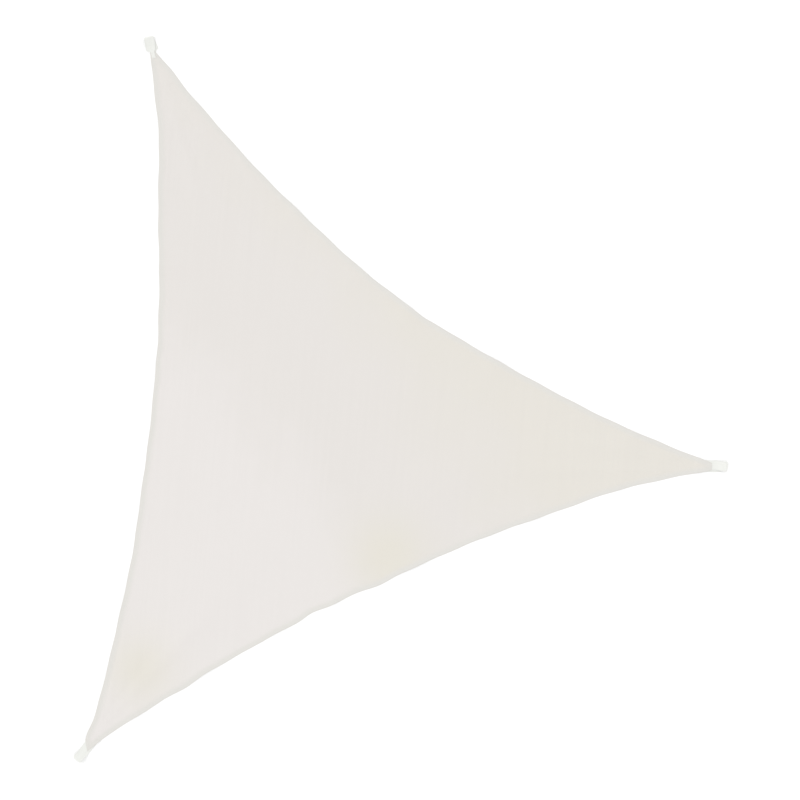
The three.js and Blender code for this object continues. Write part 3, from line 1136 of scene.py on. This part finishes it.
def knittedPolyethylene():
    material, tree = emptyMaterial("knittedPolyethylene")
    cut = addNode(tree, "ShaderNodeUVMap", uv_map="flatCloth").outputs[0]
    place = addNode(tree, "ShaderNodeTexCoord").outputs["Object"]

    # painted light makes the cloth paler towards the left tip; the dye is warmer in patches, and there is a
    # slow unevenness all over
    slope = addNode(
        tree, "ShaderNodeVectorMath", {1: clothLook["towardsRight"]}, {0: place}, operation="DOT_PRODUCT"
    )
    cloudy = addNode(
        tree,
        "ShaderNodeTexNoise",
        {"Scale": clothLook["cloudScale"], "Detail": 4.0, "Roughness": 0.55},
        {"Vector": place},
    ).outputs["Fac"]
    depth = clothLook["cloudDepth"]
    cloud = addNode(
        tree,
        "ShaderNodeMapRange",
        {"From Min": 0.3, "From Max": 0.7, "To Min": -depth, "To Max": depth},
        {"Value": cloudy},
    )
    shade = addNode(
        tree, "ShaderNodeMath", links={0: slope.outputs["Value"], 1: cloud.outputs[0]}, operation="ADD"
    )
    paleness = addNode(
        tree,
        "ShaderNodeMapRange",
        {"From Min": clothLook["paleFrom"], "From Max": clothLook["palest"]},
        {"Value": shade.outputs[0]},
    )
    # painted light: the base colour turns pale towards the left tip
    dyeAndPaintedLight = addNode(
        tree,
        "ShaderNodeMix",
        {6: linear(clothLook["base"]), 7: linear(clothLook["pale"])},
        {0: paleness.outputs[0]},
        data_type="RGBA",
    )
    warm = addNode(tree, "ShaderNodeAttribute", attribute_name="warmth").outputs["Fac"]
    towardsRight = addNode(
        tree,
        "ShaderNodeMapRange",
        {
            "From Min": clothLook["warmFrom"],
            "From Max": clothLook["warmest"],
            "To Max": clothLook["warmShare"],
        },
        {"Value": shade.outputs[0]},
    )
    warmer = addNode(
        tree, "ShaderNodeMath", links={0: warm, 1: towardsRight.outputs[0]}, operation="MAXIMUM"
    )
    warmed = addNode(
        tree,
        "ShaderNodeMix",
        {7: linear(clothLook["warm"])},
        {0: warmer.outputs[0], 6: dyeAndPaintedLight.outputs[2]},
        data_type="RGBA",
    )

    # painted shade: the doubled hem is darkened, because two layers let less light from the pale ground
    # through
    edge = addNode(tree, "ShaderNodeAttribute", attribute_name="fromEdge").outputs["Fac"]
    doubled = addNode(
        tree,
        "ShaderNodeMapRange",
        {
            "From Min": clothLook["doubledTo"],
            "From Max": clothLook["singleFrom"],
            "To Min": 1.0,
            "To Max": 0.0,
        },
        {"Value": edge},
        interpolation_type="SMOOTHSTEP",
    )
    paintedHemShade = addNode(
        tree,
        "ShaderNodeMix",
        {7: linear(clothLook["hem"])},
        {0: doubled.outputs[0], 6: warmed.outputs[2]},
        data_type="RGBA",
    )

    # the knit: chains of loops in columns, which wander a little, and tapes that slant between the chains
    drift = addNode(tree, "ShaderNodeTexNoise", {"Scale": 22.0, "Detail": 1.0}, {"Vector": cut})
    split = addNode(tree, "ShaderNodeSeparateXYZ", links={0: cut})
    across = addNode(
        tree,
        "ShaderNodeMath",
        {1: clothLook["wander"] * mm},
        {0: drift.outputs["Fac"], 2: split.outputs["X"]},
        operation="MULTIPLY_ADD",
    )
    offChain = addNode(
        tree,
        "ShaderNodeMath",
        {1: clothLook["column"] * mm / 2},
        {0: across.outputs[0]},
        operation="PINGPONG",
    )
    slanted = addNode(
        tree,
        "ShaderNodeMath",
        {1: clothLook["slant"]},
        {0: offChain.outputs[0], 2: split.outputs["Y"]},
        operation="MULTIPLY_ADD",
    )
    columns = waveOf(tree, across.outputs[0], clothLook["column"])
    loopRow = waveOf(tree, slanted.outputs[0], clothLook["loop"])
    knit = addNode(
        tree,
        "ShaderNodeMix",
        {0: clothLook["loopShare"]},
        {2: columns, 3: loopRow},
        data_type="FLOAT",
    ).outputs[0]

    # slow streaks along the columns; real ones are a column wide, and these are drawn over three times as
    # broad, so that they show
    streakPlace = addNode(
        tree, "ShaderNodeMapping", {"Scale": (1 / (clothLook["shownColumn"] * mm), 0.9, 1)}, {"Vector": cut}
    )
    streaks = addNode(
        tree,
        "ShaderNodeTexNoise",
        {"Scale": 1.0, "Detail": 3.0, "Roughness": 0.6},
        {"Vector": streakPlace.outputs[0]},
    )
    # painted shade: the knit's gaps between chains and tapes are darkened
    darkest, lightest = clothLook["gapPaintedShades"]
    gapPaintedShade = addNode(
        tree,
        "ShaderNodeMapRange",
        {"From Min": 0.05, "From Max": 0.75, "To Min": darkest, "To Max": lightest},
        {"Value": knit},
        interpolation_type="SMOOTHSTEP",
    )
    darkest, lightest = clothLook["streakShades"]
    streakShade = addNode(
        tree,
        "ShaderNodeMapRange",
        {"From Min": 0.3, "From Max": 0.7, "To Min": darkest, "To Max": lightest},
        {"Value": streaks.outputs["Fac"]},
    )
    coloured = shaded(tree, paintedHemShade.outputs[2], gapPaintedShade, streakShade)
    bump = addNode(tree, "ShaderNodeBump", {"Strength": 0.5, "Distance": 0.0006}, {"Height": knit})
    surface = addNode(
        tree,
        "ShaderNodeBsdfPrincipled",
        {
            "Roughness": clothLook["roughness"],
            "IOR": 1.5,
            "Specular IOR Level": 0.25,
            "Sheen Weight": 0.12,
            "Sheen Roughness": 0.5,
        },
        {"Base Color": coloured.outputs[0], "Normal": bump.outputs[0]},
    )
    addNode(tree, "ShaderNodeOutputMaterial", links={"Surface": surface.outputs[0]})
    return material


# woven polyester webbing: brighter and smoother than the cloth, ribbed across, with firm woven edges that
# painted shade darkens.
# rib and warpBand are in millimetres, edgeFrom and edgeFull in metres from the middle
webbingLook = {
    "base": "#f3f4ef",
    # the edge colour is painted shade along the strap's edges
    "edge": "#edeeea",
    "rib": 1.7,
    "warpBand": 8.5,
    "roughness": 0.55,
    "edgeFrom": 0.0195,
    "edgeFull": 0.0245,
    "ribShades": (0.95, 1.01),
    "bandShades": (0.985, 1.005),
}


# how far apart a Wave texture's crests lie is set by its scale; the pitch is in millimetres
def waveScale(pitch):
    return math.pi / (10 * pitch * mm)


def wovenPolyesterWebbing():
    material, tree = emptyMaterial("wovenPolyesterWebbing")
    along = addNode(tree, "ShaderNodeUVMap", uv_map="alongStrap").outputs[0]
    ribs = addNode(
        tree,
        "ShaderNodeTexWave",
        {"Scale": waveScale(webbingLook["rib"]), "Distortion": 0.8, "Detail": 1.0, "Detail Scale": 0.6},
        {"Vector": along},
        bands_direction="Y",
    )
    bands = addNode(
        tree,
        "ShaderNodeTexWave",
        {"Scale": waveScale(webbingLook["warpBand"]), "Distortion": 0.4, "Detail": 1.0},
        {"Vector": along},
        bands_direction="X",
    )
    split = addNode(tree, "ShaderNodeSeparateXYZ", links={0: along})
    offMiddle = addNode(tree, "ShaderNodeMath", links={0: split.outputs["X"]}, operation="ABSOLUTE")
    # painted shade: the colour darkens towards both edges of the strap
    atShadedEdge = addNode(
        tree,
        "ShaderNodeMapRange",
        {"From Min": webbingLook["edgeFrom"], "From Max": webbingLook["edgeFull"]},
        {"Value": offMiddle.outputs[0]},
    )
    woven = addNode(
        tree,
        "ShaderNodeMix",
        {6: linear(webbingLook["base"]), 7: linear(webbingLook["edge"])},
        {0: atShadedEdge.outputs[0]},
        data_type="RGBA",
    )
    darkest, lightest = webbingLook["ribShades"]
    ribShade = addNode(
        tree, "ShaderNodeMapRange", {"To Min": darkest, "To Max": lightest}, {"Value": ribs.outputs["Fac"]}
    )
    darkest, lightest = webbingLook["bandShades"]
    bandShade = addNode(
        tree, "ShaderNodeMapRange", {"To Min": darkest, "To Max": lightest}, {"Value": bands.outputs["Fac"]}
    )
    coloured = shaded(tree, woven.outputs[2], ribShade, bandShade)
    bump = addNode(
        tree, "ShaderNodeBump", {"Strength": 0.5, "Distance": 0.0004}, {"Height": ribs.outputs["Fac"]}
    )
    surface = addNode(
        tree,
        "ShaderNodeBsdfPrincipled",
        {
            "Roughness": webbingLook["roughness"],
            "IOR": 1.55,
            "Specular IOR Level": 0.35,
            "Sheen Weight": 0.1,
        },
        {"Base Color": coloured.outputs[0], "Normal": bump.outputs[0]},
    )
    addNode(tree, "ShaderNodeOutputMaterial", links={"Surface": surface.outputs[0]})
    return material


# bonded polyester thread, twisted: a soft shine, nearly the colour of the cloth that it draws down
threadLook = {"base": "#f0eeea", "roughness": 0.45, "twist": 0.9, "twistShades": (0.94, 1.02)}


def bondedPolyesterThread():
    material, tree = emptyMaterial("bondedPolyesterThread")
    place = addNode(tree, "ShaderNodeTexCoord").outputs["Object"]
    twist = addNode(
        tree,
        "ShaderNodeTexWave",
        {"Scale": waveScale(threadLook["twist"]), "Distortion": 0.3},
        {"Vector": place},
        bands_direction="DIAGONAL",
    )
    darkest, lightest = threadLook["twistShades"]
    shade = addNode(
        tree, "ShaderNodeMapRange", {"To Min": darkest, "To Max": lightest}, {"Value": twist.outputs["Fac"]}
    )
    coloured = addNode(
        tree,
        "ShaderNodeVectorMath",
        {0: linear(threadLook["base"])[:3]},
        {"Scale": shade.outputs[0]},
        operation="SCALE",
    )
    bump = addNode(
        tree, "ShaderNodeBump", {"Strength": 0.3, "Distance": 0.0002}, {"Height": twist.outputs["Fac"]}
    )
    surface = addNode(
        tree,
        "ShaderNodeBsdfPrincipled",
        {"Roughness": threadLook["roughness"], "IOR": 1.55, "Sheen Weight": 0.1},
        {"Base Color": coloured.outputs[0], "Normal": bump.outputs[0]},
    )
    addNode(tree, "ShaderNodeOutputMaterial", links={"Surface": surface.outputs[0]})
    return material


# a seamless sheet of matt background paper
def backgroundPaper():
    material, tree = emptyMaterial("backgroundPaper")
    place = addNode(tree, "ShaderNodeTexCoord").outputs["Object"]
    grain = addNode(tree, "ShaderNodeTexNoise", {"Scale": 300.0, "Detail": 2.0}, {"Vector": place})
    bump = addNode(
        tree, "ShaderNodeBump", {"Strength": 0.05, "Distance": 0.0002}, {"Height": grain.outputs["Fac"]}
    )
    surface = addNode(
        tree,
        "ShaderNodeBsdfPrincipled",
        {
            "Base Color": linear(lighting["floor"]),
            "Roughness": 0.95,
            "Specular IOR Level": 0.1,
            "Emission Color": (1, 1, 1, 1),
            "Emission Strength": lighting["floorGlow"],
        },
        {"Normal": bump.outputs[0]},
    )
    addNode(tree, "ShaderNodeOutputMaterial", links={"Surface": surface.outputs[0]})
    return material


def setCamera():
    data = bpy.data.cameras.new("camera")
    data.lens, data.sensor_width = view["lens"], view["sensor"]
    data.clip_end = view["farthest"]
    camera = bpy.data.objects.new("camera", data)
    height = view["fieldWidth"] * view["lens"] / view["sensor"]
    camera.location = (*(np.array(view["centre"]) * mm), height * mm)
    camera.rotation_euler = (0, 0, math.radians(view["turn"]))
    bpy.context.collection.objects.link(camera)
    bpy.context.scene.camera = camera
    bpy.context.scene.view_settings.view_transform = "Standard"


def setLight():
    world = bpy.data.worlds.new("overcast")
    world.use_nodes = True
    tree = world.node_tree
    tree.nodes.clear()
    direction = addNode(tree, "ShaderNodeTexCoord").outputs["Generated"]
    split = addNode(tree, "ShaderNodeSeparateXYZ", links={0: direction})
    brightness = addNode(
        tree,
        "ShaderNodeMapRange",
        {"To Min": lighting["skyLow"], "To Max": lighting["skyHigh"]},
        {"Value": split.outputs["Z"]},
    )
    sky = addNode(
        tree, "ShaderNodeBackground", {"Color": (1, 1, 1, 1)}, {"Strength": brightness.outputs[0]}
    )
    addNode(tree, "ShaderNodeOutputWorld", links={"Surface": sky.outputs[0]})
    bpy.context.scene.world = world

    data = bpy.data.lights.new("sun", "SUN")
    data.energy = lighting["sunStrength"]
    data.angle = math.radians(lighting["sunAngle"])
    sun = bpy.data.objects.new("sun", data)
    bearing, height = math.radians(lighting["sunFrom"]), math.radians(lighting["sunHeight"])
    level = math.cos(height)
    towards = Vector((math.cos(bearing) * level, math.sin(bearing) * level, math.sin(height)))
    sun.rotation_euler = towards.to_track_quat("Z", "Y").to_euler()
    sun.location = towards * lighting["sunAway"]
    bpy.context.collection.objects.link(sun)


def setFloor():
    half, drop = lighting["floorSide"] / 2, lighting["floorDrop"]
    corners = [(-half, -half, -drop), (half, -half, -drop), (half, half, -drop), (-half, half, -drop)]
    floor = meshObject("floor", corners, [(0, 1, 2, 3)], backgroundPaper())


setCamera()
setLight()
setFloor()
print("camera, light and floor set")

cloth = knittedPolyethylene()
webbingCloth = wovenPolyesterWebbing()
thread = bondedPolyesterThread()
print("materials made")

sail, cutSize, cutArea = sheetPiece(cloth)
print("sheet made:", len(sail.data.polygons), "faces, flat size in metres", cutSize.round(3))

straps = [strapPiece(name, webbingCloth) for name in loops]
print("loops made:", [len(strap.data.polygons) for strap in straps])

sewing = stitchTree(thread)
sewnThrough = sewnSurface([sail, *straps])
hemStitches = stitchPiece("hem_stitches", hemPaths(sewnThrough), sewing, stitching["rows"])
crossed = [path for name in boxes for path in boxPaths(sewnThrough, name)]
tipStitches = stitchPiece("tip_stitches", crossed, sewing, stitching["boxes"])
print("stitches made:", len(hemStitches.data.polygons), len(tipStitches.data.polygons))

pieces = [sail, *straps, hemStitches, tipStitches]
for piece in pieces:
    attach(piece, "root")
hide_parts("sail_cloth")
for name, strap in zip(loops, straps):
    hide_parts(f"loop_{name}")
